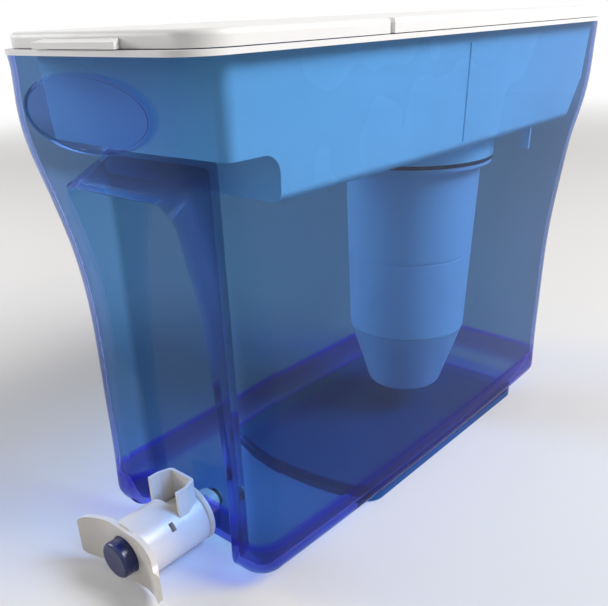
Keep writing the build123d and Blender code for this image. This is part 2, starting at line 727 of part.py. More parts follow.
def make_seal_ring():
    """Seal between the cup's flange and the hopper's skirt."""
    inner = cup_radius(SEAL_LOW) + SPIGOT_GAP
    outer = SKIRT_R - CUP_FLANGE_IN / 2
    top = SEAL_LOW + SEAL_T
    return turned([(inner, SEAL_LOW), (outer, SEAL_LOW), (outer, top), (inner, top)])


def filter_fill(low, high):
    """Plug of filter medium between two heights in the cup."""
    return turned([(0.0, low), (inside_radius(low), low), (inside_radius(high), high), (0.0, high)])


def make_valve_body():
    """Fixed core of the tap: flange, tube and the threaded stud through the panel."""
    flange = along_y(TAP_FLANGE_R, PANEL_Y - WASHER_T, FLANGE_FRONT)
    flange = fillet(flange.faces().sort_by(Axis.Y)[0].edges(), TAP_FLANGE_ROUND)
    tube = along_y(VALVE_R, FLANGE_FRONT + WASHER_T / 2, VALVE_END)
    stud = along_y(STUD_R, PANEL_Y - WASHER_T - TAP_FLANGE_T / 2, STUD_END)
    chamber = along_y(VALVE_BORE_R, CHAMBER_BACK, VALVE_END - WALL)
    bore = along_y(BORE_R, CHAMBER_BACK - WALL, STUD_END + WALL)
    body = flange + tube + stud - chamber - bore
    outlet = Pos(0, FLANGE_FRONT - OUTLET_FROM, TAP_Z - VALVE_R) * Box(OUTLET_W, OUTLET_L, VALVE_R)
    ring_y0 = VALVE_END + RING_FROM_END - GROOVE_SLACK
    ring_y1 = ring_y0 + RING_W + 2 * GROOVE_SLACK
    clip = ring_y(2 * VALVE_R, VALVE_R - RING_DEEP - GROOVE_SLACK, ring_y0, ring_y1)
    seal_y0 = FLANGE_FRONT - SLEEVE_SEAL_FROM + GROOVE_SLACK
    seal_y1 = seal_y0 - SLEEVE_SEAL_W - 2 * GROOVE_SLACK
    seal = ring_y(2 * VALVE_R, VALVE_R - SLEEVE_SEAL_DEEP - GROOVE_SLACK, seal_y1, seal_y0)
    return body - outlet - clip - seal


def make_snap_ring():
    start = VALVE_END + RING_FROM_END
    return ring_y(VALVE_R + GROOVE_SLACK, VALVE_R - RING_DEEP, start, start + RING_W)


def make_sleeve_seal():
    start = FLANGE_FRONT - SLEEVE_SEAL_FROM
    return ring_y(VALVE_R + GROOVE_SLACK, VALVE_R - SLEEVE_SEAL_DEEP, start - SLEEVE_SEAL_W, start)


def wing_plate():
    """Finger plate of the tap: its two wings sweep forward at the tips."""
    hub = BUTTON_R + FIT_GAP
    tip = WING_HALF_W - WING_TIP_SLANT
    edges = []
    for s in (1, -1):
        middle = s * (hub + tip) / 2
        front_tip = (s * tip, PLATE_FRONT - WING_SWEEP)
        back_tip = (s * WING_HALF_W, PLATE_FRONT - WING_SWEEP + WING_TIP_T)
        edges.append(Line((0, PLATE_FRONT), (s * hub, PLATE_FRONT)))
        front_middle = (middle, PLATE_FRONT - WING_FRONT_BEND)
        edges.append(ThreePointArc((s * hub, PLATE_FRONT), front_middle, front_tip))
        edges.append(Line(front_tip, back_tip))
        back_middle = (middle, PLATE_BACK - WING_BACK_BEND)
        edges.append(ThreePointArc(back_tip, back_middle, (s * hub, PLATE_BACK)))
        edges.append(Line((s * hub, PLATE_BACK), (0, PLATE_BACK)))
    sheet = extrude(Pos(0, 0, TAP_Z - 2 * WING_HALF_H) * make_face(edges), 4 * WING_HALF_H)
    w = WING_HALF_W
    shape = [(-w, -WING_TIP_HALF_H), (-hub, -WING_HALF_H), (hub, -WING_HALF_H), (w, -WING_TIP_HALF_H)]
    shape = shape + [(-x, -z) for x, z in shape]
    face = make_face(Polyline(*shape, close=True))
    face = fillet(face.vertices(), WING_ROUND)
    plane = Plane(origin=(0, PLATE_BACK + WING_SWEEP, TAP_Z), x_dir=(1, 0, 0), z_dir=(0, -1, 0))
    return sheet & extrude(plane * face, 4 * WING_SWEEP)


def spout_face(grow, front):
    """Plan of the U spout, drawn in or out by grow."""
    back_y = SPOUT_BACK + grow
    knee_y = SPOUT_BACK - SPOUT_KNEE
    a = SPOUT_BACK_HALF_W + grow
    b = SPOUT_FRONT_HALF_W + grow
    points = [(-b, front), (b, front), (b, knee_y), (a, back_y), (-a, back_y), (-b, knee_y)]
    return make_face(Polyline(*points, close=True))


def make_sleeve():
    """Turning sleeve with its finger plate and the open U spout."""
    tube = along_y(SLEEVE_R, SLEEVE_BACK, PLATE_BACK - PLATE_T / 3)
    spout = extrude(Pos(0, 0, TAP_Z) * spout_face(0.0, SPOUT_FRONT), SPOUT_H)
    upright = spout.edges().filter_by(Axis.Z).group_by(Axis.Y)[-1]
    spout = fillet(upright, SPOUT_ROUND)
    channel = extrude(Pos(0, 0, TAP_Z) * spout_face(-SPOUT_WALL, SPOUT_FRONT - WALL), 2 * SPOUT_H)
    channel = channel & beyond(SPOUT_FRONT - FIT_GAP, 1) & beyond(SPOUT_BACK - SPOUT_WALL, -1)
    body = tube + wing_plate() + spout
    body = body - along_y(VALVE_R + SLEEVE_GAP, SLEEVE_BACK + WALL, PLATE_BACK)
    body = body - along_y(BUTTON_R + SLEEVE_GAP, PLATE_BACK + WALL, BUTTON_FRONT)
    window = Pos(SLEEVE_R - SPOUT_WALL, 0, 0) * Box(WINDOW_DEEP, WINDOW_L, WINDOW_W)
    window = Rot(0, -WINDOW_TURN, 0) * window
    return body - channel - Pos(0, SPOUT_FRONT - WINDOW_FROM, TAP_Z) * window


def make_button():
    cap = along_y(BUTTON_R, BUTTON_FRONT, PLATE_BACK - BUTTON_BACK_GAP)
    cap = fillet(cap.faces().sort_by(Axis.Y)[0].edges(), BUTTON_ROUND)
    plug = along_y(PLUG_R, PLATE_BACK - BUTTON_BACK_GAP - WALL, PLUG_BACK)
    return cap + plug - along_y(STEM_R, PLUG_BACK + WALL, BUTTON_FRONT + STEM_IN_BUTTON)


def make_stem():
    return along_y(STEM_R, BUTTON_FRONT + STEM_IN_BUTTON, STUD_END + STEM_PAST_STUD)


def make_valve_seal():
    return ring_y(VALVE_SEAL_R, STEM_R, STUD_END + SEAT_GAP, STUD_END + SEAT_GAP + VALVE_SEAL_T)


def make_seal_retainer():
    start = STUD_END + 2 * SEAT_GAP + VALVE_SEAL_T
    return ring_y(RETAINER_R, STEM_R, start, start + RETAINER_T)


def make_spring():
    """Return spring on the tap's axis, one tube swept on pairs of tangent arcs."""
    start = CHAMBER_BACK - SPRING_WIRE_R - SPRING_SEAT_GAP
    end = PLUG_BACK + SPRING_WIRE_R + SPRING_SEAT_GAP
    steps = 4 * SPRING_TURNS
    length = abs(end - start)

    def place(k):
        a = math.pi / 2 * k
        y = start - length * k / steps
        return Vector(SPRING_R * math.cos(a), y, TAP_Z + SPRING_R * math.sin(a))

    def heading(k):
        a = math.pi / 2 * k
        rise = -length / steps * 2 / math.pi
        return Vector(-SPRING_R * math.sin(a), rise, SPRING_R * math.cos(a)).normalized()

    edges = []
    for k in range(steps):
        p0, p1, t0, t1 = place(k), place(k + 1), heading(k), heading(k + 1)
        v = p1 - p0
        a = 2 * (1 - t0.dot(t1))
        b = 2 * v.dot(t0 + t1)
        d = (-b + math.sqrt(b * b + 4 * a * v.dot(v))) / (2 * a)
        middle = (p0 + p1 + (t0 - t1) * d) * 0.5
        edges.append(Edge.make_tangent_arc(p0, t0, middle))
        edges.append(Edge.make_tangent_arc(middle, edges[-1] % 1, p1))
    path = Wire(edges)
    ring = Plane(origin=place(0), z_dir=heading(0)) * Circle(SPRING_WIRE_R)
    count = 48 * SPRING_TURNS
    skip = 30
    points = [path @ (i / count) for i in range(count + 1)]
    near = min((points[i] - q).length for i in range(count + 1) for q in points[i + skip:])
    print("spring: least gap to itself", round(near - 2 * SPRING_WIRE_R, 2), "mm")
    return sweep(ring, path)


def make_nut():
    start = PANEL_Y + WALL + INNER_WASHER_T
    nut = ring_y(NUT_R, STUD_R + FIT_GAP / 2, start, start + NUT_L)
    notch = Pos(NUT_R + NUT_NOTCH / 4, 0, 0) * Box(NUT_NOTCH, 2 * NUT_L, NUT_NOTCH)
    for turn in range(NUT_NOTCHES):
        nut = nut - Pos(0, start, TAP_Z) * Rot(0, 360 / NUT_NOTCHES * turn, 0) * notch
    return nut


def make_outer_washer():
    return ring_y(WASHER_R, STUD_R + FIT_GAP, PANEL_Y - WASHER_T, PANEL_Y)


def make_inner_washer():
    start = PANEL_Y + WALL
    return ring_y(NUT_R, STUD_R + FIT_GAP, start, start + INNER_WASHER_T)


parts = {
    "reservoir_body": make_reservoir,
    "hopper": make_hopper,
    "rim_frame": make_rim_frame,
    "rear_lid": make_rear_lid,
    "fill_door": make_door,
    "door_hinge_pins": make_pins,
    "filter_cup": make_filter_cup,
    "filter_lower_cap": make_filter_tip,
    "filter_top_cap": make_filter_cap,
    "filter_inlet_grille": make_filter_grille,
    "filter_seal_ring": make_seal_ring,
    "filter_foam_pad": lambda: filter_fill(FOAM_LOW, FOAM_LOW + FOAM_T),
    "filter_resin_bed": lambda: filter_fill(SCREEN_Z + SCREEN_T + FILL_GAP, FOAM_LOW - FILL_GAP),
    "filter_outlet_screen": lambda: filter_fill(SCREEN_Z, SCREEN_Z + SCREEN_T),
    "tap_valve_body": make_valve_body,
    "tap_sleeve": make_sleeve,
    "tap_button": make_button,
    "plunger_stem": make_stem,
    "valve_seal": make_valve_seal,
    "valve_seal_retainer": make_seal_retainer,
    "tap_spring": make_spring,
    "tap_outer_washer": make_outer_washer,
    "tap_inner_washer": make_inner_washer,
    "tap_nut": make_nut,
    "sleeve_ring_seal": make_sleeve_seal,
    "sleeve_snap_ring": make_snap_ring,
}

for name, make in parts.items():
    solid = make()
    export_step(solid, f"parts/{name}.step")
    box = solid.bounding_box()
    print(name, len(solid.solids()), "solids", round(solid.volume), "mm3", box.min, box.max)
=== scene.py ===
import math

import bmesh
import bpy
from mathutils import Matrix, Vector, noise


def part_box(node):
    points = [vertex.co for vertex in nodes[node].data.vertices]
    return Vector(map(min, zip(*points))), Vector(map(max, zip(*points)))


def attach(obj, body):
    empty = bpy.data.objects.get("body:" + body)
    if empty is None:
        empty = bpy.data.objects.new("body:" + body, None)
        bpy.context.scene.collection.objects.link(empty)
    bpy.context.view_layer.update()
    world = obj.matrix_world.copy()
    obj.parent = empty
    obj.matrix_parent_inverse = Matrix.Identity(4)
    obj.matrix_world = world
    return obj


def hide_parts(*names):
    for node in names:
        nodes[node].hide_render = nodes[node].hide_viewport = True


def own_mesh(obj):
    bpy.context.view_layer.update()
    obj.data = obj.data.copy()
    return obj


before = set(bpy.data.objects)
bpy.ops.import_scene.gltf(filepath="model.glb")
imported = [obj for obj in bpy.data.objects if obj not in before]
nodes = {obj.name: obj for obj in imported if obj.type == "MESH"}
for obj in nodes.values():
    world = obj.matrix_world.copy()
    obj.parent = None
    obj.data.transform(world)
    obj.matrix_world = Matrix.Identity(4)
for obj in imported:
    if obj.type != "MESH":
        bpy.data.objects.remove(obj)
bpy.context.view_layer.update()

# Camera, as solved from the photograph: metres, degrees and pixels of a 608 x 606 frame.
PHOTO_WIDTH = 608
PHOTO_HEIGHT = 606
CAMERA_AT = Vector((0.26677, -0.36038, 0.26889))
CAMERA_AZIMUTH = 42.393
CAMERA_ELEVATION = 27.507
CAMERA_ROLL = -2.274
CAMERA_NEAR = 0.01
FOCAL_PX = 718.65
AXIS_X_PX = 292.54
AXIS_Y_PX = 385.0
SENSOR_MM = 36.0

# Heights on the tank, in metres, at which its tint changes and along which painted highlight lines run.
UNDERSIDE = 0.0070
FLOOR_INSIDE = 0.0095
FOOT_TOP = 0.0270
RECESS_TOP = 0.2125
BADGE_AT = 0.2348

# Other places and sizes on the tank, in metres.
PANEL_FRONT = -0.1525
LEG_HALF_W = 0.0600
BADGE_HALF_W = 0.0437
BADGE_HALF_H = 0.0155
# Half the width of a painted highlight line.
HIGHLIGHT_HALF = 0.0011

# Widths over which one tint runs into the next: metres, and a share of its size for the oval pad.
PANEL_SOFT = 0.004
LEG_SOFT = 0.012
FOOT_SOFT = 0.0012
BADGE_SOFT = 0.03

# Return spring: its turns, and its wire's radius in metres. A turn has COIL_STEPS points, the wire
# WIRE_SIDES sides.
SPRING_TURNS = 5.0
SPRING_WIRE = 0.0006
COIL_STEPS = 48
WIRE_SIDES = 16

# Foam pad: the room around it and the height of its lumps in metres, and the lumps to a metre.
PAD_ROOM = 0.0006
PAD_LUMP = 0.0004
PAD_LUMPS = 90.0
PAD_SIDES = 72

# The pad's outline as shares of its radius and thickness: underside and soft edge, then the crown's steps.
PAD_EDGE = [(0.5, 0.0), (0.97, 0.0), (1.0, 0.16), (0.985, 0.40), (1.0, 0.62), (0.985, 0.76), (0.94, 0.85)]
PAD_CROWN_STEPS = (0.8, 0.6, 0.4, 0.2)
PAD_CROWN_TOP = 0.98
PAD_CROWN_FALL = 0.13

# Studio, in metres: the sweep lies a hair's breadth under the plinth and turns white with the distance.
SWEEP_DEPTH = 3.0
SWEEP_RADIUS = 1.2
SWEEP_STEPS = 16
SWEEP_TOP = 4.0
SWEEP_HALF_W = 6.0
FLOOR_GAP = 0.0003
WHITE_FROM = 0.8
WHITE_AT = 2.2
TANK_MIDDLE = (0.0, 0.0, 0.12)
TAP_SIDE = (0.0, -0.1, 0.1)
WORLD_LIGHT = 0.20

# Linear colours.
TANK_WALL = (0.27, 0.46, 0.575, 1.0)
TANK_FOOT = (0.15, 0.13, 0.37, 1.0)
# Painted highlight: the bright violet of the lines along the foot, the inside floor and the top of the rim.
TANK_HIGHLIGHT = (0.10, 0.08, 0.70, 1.0)
# Painted light: the paler, brighter blue of the recess and its reveals.
TANK_RECESS_LIGHT = (0.50, 0.77, 0.93, 1.0)
# Painted shade: the darker blue of the plinth under the tank.
TANK_PLINTH_SHADE = (0.03, 0.19, 0.34, 1.0)
TANK_BADGE = (0.23, 0.38, 0.57, 1.0)
TANK_SHADOW = (0.80, 0.91, 0.97, 1.0)
TANK_DEPTH = (0.35, 0.28, 0.97, 1.0)
HOPPER_BLUE = (0.63, 0.91, 0.94, 1.0)
HOPPER_SHADOW = (0.25, 0.42, 0.6, 1.0)
LID_WHITE = (0.81, 0.81, 0.81, 1.0)
TAP_WHITE = (0.74, 0.71, 0.67, 1.0)
VALVE_CREAM = (0.76, 0.70, 0.56, 1.0)
BUTTON_NAVY = (0.010, 0.016, 0.105, 1.0)
# Painted shade: white plastic painted darker and bluer, for the dim blue light inside the tank.
FILTER_SHADED_WHITE = (0.54, 0.71, 0.84, 1.0)
SEAL_DARK = (0.020, 0.024, 0.045, 1.0)
WASHER_BLUE = (0.30, 0.55, 0.88, 1.0)
STEEL = (0.56, 0.57, 0.59, 1.0)
FOAM = (0.62, 0.62, 0.60, 1.0)
RESIN_DARK = (0.10, 0.06, 0.03, 1.0)
RESIN_LIGHT = (0.42, 0.27, 0.11, 1.0)
MESH_GREY = (0.62, 0.62, 0.62, 1.0)
FLOOR_PALE = (0.75, 0.75, 0.75, 1.0)
WHITE = (1.0, 1.0, 1.0, 1.0)
WORLD_WARM = (1.0, 0.95, 0.90, 1.0)

# Colour sockets of a Mix node, by number, because its sockets for plain numbers have the same names.
MIX_SHARE = 0
MIX_FIRST = 6
MIX_SECOND = 7
MIX_RESULT = 2


class Value:
    """A shader socket that can stand in an expression; each sign adds a Math node."""

    def __init__(self, paint, socket):
        self.paint = paint
        self.socket = socket

    def operate(self, operation, first, second):
        return self.paint.node("ShaderNodeMath", {"operation": operation}, {0: first, 1: second})

    def __add__(self, other):
        return self.operate("ADD", self, other)

    def __radd__(self, other):
        return self.operate("ADD", other, self)

    def __sub__(self, other):
        return self.operate("SUBTRACT", self, other)

    def __rsub__(self, other):
        return self.operate("SUBTRACT", other, self)

    def __mul__(self, other):
        return self.operate("MULTIPLY", self, other)

    def __rmul__(self, other):
        return self.operate("MULTIPLY", other, self)


class Paint:
    """The nodes of one material, or of the world, added one by one."""

    def __init__(self, holder):
        self.holder = holder
        holder.use_nodes = True
        self.tree = holder.node_tree
        self.tree.nodes.clear()
        self.place = self.node("ShaderNodeTexCoord", output="Object")

    def node(self, kind, settings=None, inputs=None, output=0):
        """Adds a node, sets it, then fills or links its sockets, and gives one of its outputs."""
        made = self.tree.nodes.new(kind)
        for name, setting in (settings or {}).items():
            setattr(made, name, setting)
        for name, given in (inputs or {}).items():
            if isinstance(given, Value):
                self.tree.links.new(given.socket, made.inputs[name])
            else:
                made.inputs[name].default_value = given
        return Value(self, made.outputs[output])

    def noise(self, scale, detail=2.0, roughness=0.5, place=None):
        """Noise from 0 to 1 with about scale lumps to the metre."""
        inputs = {"Vector": place or self.place, "Scale": scale, "Detail": detail, "Roughness": roughness}
        return self.node("ShaderNodeTexNoise", None, inputs)

    def cells(self, scale):
        """How far it is to the middle of a cell, with about scale cells to the metre."""
        return self.node("ShaderNodeTexVoronoi", None, {"Vector": self.place, "Scale": scale})

    def threads(self, axis, scale):
        """Soft bands, one after the other along an axis."""
        inputs = {"Vector": self.place, "Scale": scale}
        return self.node("ShaderNodeTexWave", {"bands_direction": axis}, inputs, "Fac")

    def along(self, axis):
        """Place along one axis of the object, in metres."""
        return self.node("ShaderNodeSeparateXYZ", None, {0: self.place}, axis)

    def facing(self, axis):
        """1 where the surface looks along the axis, 0 beside it, -1 against it."""
        normal = self.node("ShaderNodeNewGeometry", output="True Normal")
        return self.node("ShaderNodeSeparateXYZ", None, {0: normal}, axis)

    def absolute(self, value):
        """The value without its sign."""
        return self.node("ShaderNodeMath", {"operation": "ABSOLUTE"}, {0: value})

    def stretched(self, x, y, z):
        """Places multiplied by a number for each axis."""
        return self.node("ShaderNodeMapping", None, {"Vector": self.place, "Scale": (x, y, z)})

    def ramp(self, value, low, high):
        """0 at low, 1 at high, smooth between."""
        settings = {"interpolation_type": "SMOOTHSTEP"}
        inputs = {"Value": value, "From Min": low, "From Max": high}
        return self.node("ShaderNodeMapRange", settings, inputs)

    def mix(self, share, first, second):
        """Colour that runs from first to second."""
        inputs = {MIX_SHARE: share, MIX_FIRST: first, MIX_SECOND: second}
        return self.node("ShaderNodeMix", {"data_type": "RGBA"}, inputs, MIX_RESULT)

    def bump(self, height, distance, strength):
        """Unevenness that only the light shows; distance is in metres."""
        inputs = {"Height": height, "Distance": distance, "Strength": strength}
        return self.node("ShaderNodeBump", None, inputs)

    def plastic(self, **inputs):
        """Principled surface; the names are its sockets' names with _ for a space."""
        named = {name.replace("_", " "): given for name, given in inputs.items()}
        return self.node("ShaderNodeBsdfPrincipled", None, named)

    def blend(self, share, first, second):
        """Surface that runs from first to second."""
        return self.node("ShaderNodeMixShader", None, {0: share, 1: first, 2: second})

    def lets_lamps_through(self, surface, tint):
        """The same surface, but a lamp's light passes it straight, tinted."""
        shadow = self.node("ShaderNodeLightPath", output="Is Shadow Ray")
        clear = self.node("ShaderNodeBsdfTransparent", None, {"Color": tint})
        return self.blend(shadow, surface, clear)

    def seen(self):
        """1 for what the camera sees, also in a gloss or through the clear wall, and 0 for lighting."""
        direct, gloss, through = (
            self.node("ShaderNodeLightPath", output=name)
            for name in ("Is Camera Ray", "Is Glossy Ray", "Is Transmission Ray")
        )
        return self.ramp(direct + gloss + through, 0.0, 1.0)

    def finish(self, surface, volume=None, output="ShaderNodeOutputMaterial"):
        """Links what was made to the output and gives the material, or the world."""
        made = self.tree.nodes.new(output)
        self.tree.links.new(surface.socket, made.inputs["Surface"])
        if volume:
            self.tree.links.new(volume.socket, made.inputs["Volume"])
        return self.holder


def material(name):
    """A new material without a finish."""
    return bpy.data.materials.new(name)


def shade(colour, factor):
    """The same colour, lighter or darker."""
    return (colour[0] * factor, colour[1] * factor, colour[2] * factor, 1.0)


def tank_colour(paint):
    """Blue of the wall, deeper at the oval pad, painted paler at the legs and the recess as painted light,
    painted darker at the plinth as painted shade, with painted violet highlights along its edges.
    """
    x, y, z = (paint.along(axis) for axis in "XYZ")
    upward = paint.facing("Z")
    steep = 1 - paint.absolute(upward)
    front = paint.ramp(y, PANEL_FRONT, PANEL_FRONT - PANEL_SOFT)

    # Painted highlight line around the tank's sides at a given height.
    def highlight_at(height):
        return paint.ramp(paint.absolute(z - height), 2 * HIGHLIGHT_HALF, HIGHLIGHT_HALF)

    cloud = paint.noise(scale=14.0, detail=3.0)
    colour = paint.mix(cloud, shade(TANK_WALL, 0.94), shade(TANK_WALL, 1.05))

    # Painted light: the recess between the legs and its reveals are painted a paler blue, for the light they
    # catch.
    recess_light = front * paint.ramp(paint.absolute(x), LEG_HALF_W, LEG_HALF_W - LEG_SOFT)
    recess_light = recess_light * paint.ramp(z, RECESS_TOP, RECESS_TOP - LEG_SOFT)
    colour = paint.mix(recess_light, colour, TANK_RECESS_LIGHT)

    rise = z - BADGE_AT
    oval = x * x * (1 / BADGE_HALF_W ** 2) + rise * rise * (1 / BADGE_HALF_H ** 2)
    badge = front * paint.ramp(oval, 1 + BADGE_SOFT, 1 - BADGE_SOFT)
    colour = paint.mix(badge, colour, TANK_BADGE)

    foot = paint.ramp(z, FOOT_TOP + FOOT_SOFT, FOOT_TOP - FOOT_SOFT) * steep
    colour = paint.mix(foot, colour, TANK_FOOT)
    # Painted shade: the plinth under the tank is painted darker.
    plinth = paint.ramp(z, UNDERSIDE, UNDERSIDE - FOOT_SOFT)
    colour = paint.mix(plinth, colour, TANK_PLINTH_SHADE)

    # Painted highlights: thin violet lines where the foot ends and at the inside floor's height.
    highlights = (highlight_at(FOOT_TOP) + highlight_at(FLOOR_INSIDE)) * steep
    colour = paint.mix(highlights, colour, TANK_HIGHLIGHT)
    rim_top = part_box("reservoir_body")[1][2]
    # Painted highlight: a thin violet line along the top of the rim.
    level = paint.ramp(upward, 0.3, 0.8)
    rim_highlight = paint.ramp(z, rim_top - 2 * HIGHLIGHT_HALF, rim_top - HIGHLIGHT_HALF) * level
    return paint.mix(rim_highlight, colour, TANK_HIGHLIGHT)


def clear_tank():
    """Blue see-through moulding with faint upright wipe marks and a gently uneven surface."""
    paint = Paint(material("clear_tank"))
    streaks = paint.noise(scale=1.0, detail=4.0, roughness=0.62, place=paint.stretched(70.0, 70.0, 9.0))
    marks = paint.ramp(streaks, 0.48, 0.78)
    flow = paint.noise(scale=22.0, detail=1.0)
    surface = paint.plastic(
        Base_Color=tank_colour(paint),
        Roughness=0.015 + marks * 0.09,
        Normal=paint.bump(flow, distance=0.0012, strength=0.04),
        IOR=1.06,
        Transmission_Weight=1.0,
        Coat_Weight=0.3,
        Coat_Roughness=0.03,
        Coat_IOR=1.5,
    )
    volume = paint.node("ShaderNodeVolumeAbsorption", None, {"Color": TANK_DEPTH, "Density": 60.0})
    return paint.finish(paint.lets_lamps_through(surface, TANK_SHADOW), volume)


def satin_plastic(name, colour, roughness):
    """Moulded plastic with a fine grain, a faint unevenness of tone and worn, duller patches."""
    paint = Paint(material(name))
    tone = paint.noise(scale=30.0, detail=3.0)
    rub = paint.ramp(paint.noise(scale=90.0, detail=5.0, roughness=0.65), 0.5, 0.8)
    grain = paint.noise(scale=2600.0)
    surface = paint.plastic(
        Base_Color=paint.mix(tone, shade(colour, 0.95), shade(colour, 1.03)),
        Roughness=roughness + rub * 0.12,
        Normal=paint.bump(grain, distance=0.00003, strength=0.35),
        IOR=1.47,
    )
    return paint.finish(surface)


def hopper_plastic():
    """Milky light blue moulding that lets some of the lamps' light through."""
    paint = Paint(material("hopper_plastic"))
    tone = paint.noise(scale=12.0)
    grain = paint.noise(scale=1800.0)
    surface = paint.plastic(
        Base_Color=paint.mix(tone, shade(HOPPER_BLUE, 0.92), shade(HOPPER_BLUE, 1.03)),
        Roughness=0.22 + tone * 0.1,
        Normal=paint.bump(grain, distance=0.00002, strength=0.3),
        IOR=1.5,
    )
    return paint.finish(paint.lets_lamps_through(surface, HOPPER_SHADOW))


def washer_rubber():
    """Pale blue rubber that is a little see-through."""
    paint = Paint(material("washer_rubber"))
    tone = paint.noise(scale=160.0, detail=3.0)
    surface = paint.plastic(
        Base_Color=paint.mix(tone, shade(WASHER_BLUE, 0.85), WASHER_BLUE),
        Roughness=0.3 + tone * 0.15,
        IOR=1.45,
        Transmission_Weight=0.45,
    )
    return paint.finish(surface)


def dark_rubber():
    """Matt seal rubber with a dusty bloom."""
    paint = Paint(material("dark_rubber"))
    bloom = paint.ramp(paint.noise(scale=220.0, detail=4.0, roughness=0.6), 0.5, 0.8)
    grain = paint.noise(scale=1500.0)
    surface = paint.plastic(
        Base_Color=paint.mix(bloom, SEAL_DARK, shade(SEAL_DARK, 2.4)),
        Roughness=0.55 + bloom * 0.2,
        Normal=paint.bump(grain, distance=0.00003, strength=0.4),
    )
    return paint.finish(surface)


def drawn_steel():
    """Bright drawn wire, a little uneven in tone and polish."""
    paint = Paint(material("drawn_steel"))
    wear = paint.noise(scale=900.0, detail=3.0)
    surface = paint.plastic(
        Base_Color=paint.mix(wear, shade(STEEL, 0.8), STEEL),
        Roughness=0.24 + wear * 0.16,
        Metallic=1.0,
    )
    return paint.finish(surface)


def open_foam():
    """Open-celled foam, painted darker in the middle of each cell as painted shade in its pores."""
    paint = Paint(material("open_foam"))
    cells = paint.cells(scale=700.0)
    surface = paint.plastic(
        # Painted shade: darker in the middle of each open cell.
        Base_Color=paint.mix(cells, shade(FOAM, 0.45), FOAM),
        Roughness=0.95,
        Normal=paint.bump(cells, distance=0.0006, strength=0.8),
    )
    return paint.finish(surface)


def resin_grains():
    """Packed grains of resin and carbon."""
    paint = Paint(material("resin_grains"))
    kind = paint.ramp(paint.noise(scale=420.0, detail=1.0), 0.4, 0.6)
    surface = paint.plastic(
        Base_Color=paint.mix(kind, RESIN_DARK, RESIN_LIGHT),
        Roughness=0.45,
        Normal=paint.bump(1 - paint.cells(scale=900.0), distance=0.0005, strength=0.9),
    )
    return paint.finish(surface)


def woven_mesh():
    """Fine woven screen."""
    paint = Paint(material("woven_mesh"))
    weave = paint.threads("X", scale=420.0) * paint.threads("Y", scale=420.0)
    surface = paint.plastic(
        Base_Color=paint.mix(weave, shade(MESH_GREY, 0.4), MESH_GREY),
        Roughness=0.6,
        Normal=paint.bump(weave, distance=0.0002, strength=0.7),
    )
    return paint.finish(surface)


def pale_floor():
    """Plain pale studio floor that runs into a white distance."""
    paint = Paint(material("pale_floor"))
    tone = paint.noise(scale=3.0)
    surface = paint.plastic(Base_Color=paint.mix(tone, shade(FLOOR_PALE, 0.99), FLOOR_PALE), Roughness=0.7)
    x, y = (paint.along(axis) for axis in "XY")
    far = paint.ramp(x * x + y * y, WHITE_FROM ** 2, WHITE_AT ** 2)
    white = paint.node("ShaderNodeEmission", None, {"Color": WHITE, "Strength": 1.0})
    return paint.finish(paint.blend(far * paint.seen(), surface, white))


def white_world():
    """Even, faintly warm light; the camera sees it as white."""
    paint = Paint(bpy.data.worlds.new("studio"))
    light = paint.node("ShaderNodeBackground", None, {"Color": WORLD_WARM, "Strength": WORLD_LIGHT})
    white = paint.node("ShaderNodeBackground", None, {"Color": WHITE, "Strength": 1.0})
    return paint.finish(paint.blend(paint.seen(), light, white), output="ShaderNodeOutputWorld")


def paint_nodes(steel):
    """Gives every CAD node that is shown its finish."""
    lid = satin_plastic("lid_plastic", LID_WHITE, 0.45)
    tap = satin_plastic("tap_plastic", TAP_WHITE, 0.28)
    # Painted shade: the filter's white is painted darker and bluer for the dim light inside the tank.
    shaded_cup = satin_plastic("filter_plastic_in_shade", FILTER_SHADED_WHITE, 0.30)
    cream = satin_plastic("valve_plastic", VALVE_CREAM, 0.42)
    navy = satin_plastic("button_plastic", BUTTON_NAVY, 0.26)
    rubber = dark_rubber()
    washer = washer_rubber()
    finishes = {
        "reservoir_body": clear_tank(),
        "hopper": hopper_plastic(),
        "rim_frame": lid,
        "rear_lid": lid,
        "fill_door": lid,
        "door_hinge_pins": steel,
        "filter_cup": shaded_cup,
        "filter_lower_cap": shaded_cup,
        "filter_top_cap": shaded_cup,
        "filter_inlet_grille": shaded_cup,
        "filter_seal_ring": rubber,
        "filter_resin_bed": resin_grains(),
        "filter_outlet_screen": woven_mesh(),
        "tap_valve_body": cream,
        "tap_sleeve": tap,
        "tap_button": navy,
        "plunger_stem": cream,
        "valve_seal": rubber,
        "valve_seal_retainer": cream,
        "tap_outer_washer": washer,
        "tap_inner_washer": washer,
        "tap_nut": tap,
        "sleeve_ring_seal": rubber,
        "sleeve_snap_ring": steel,
    }
    for name, finish in finishes.items():
        slots = nodes[name].data.materials
        slots.clear()
        slots.append(finish)


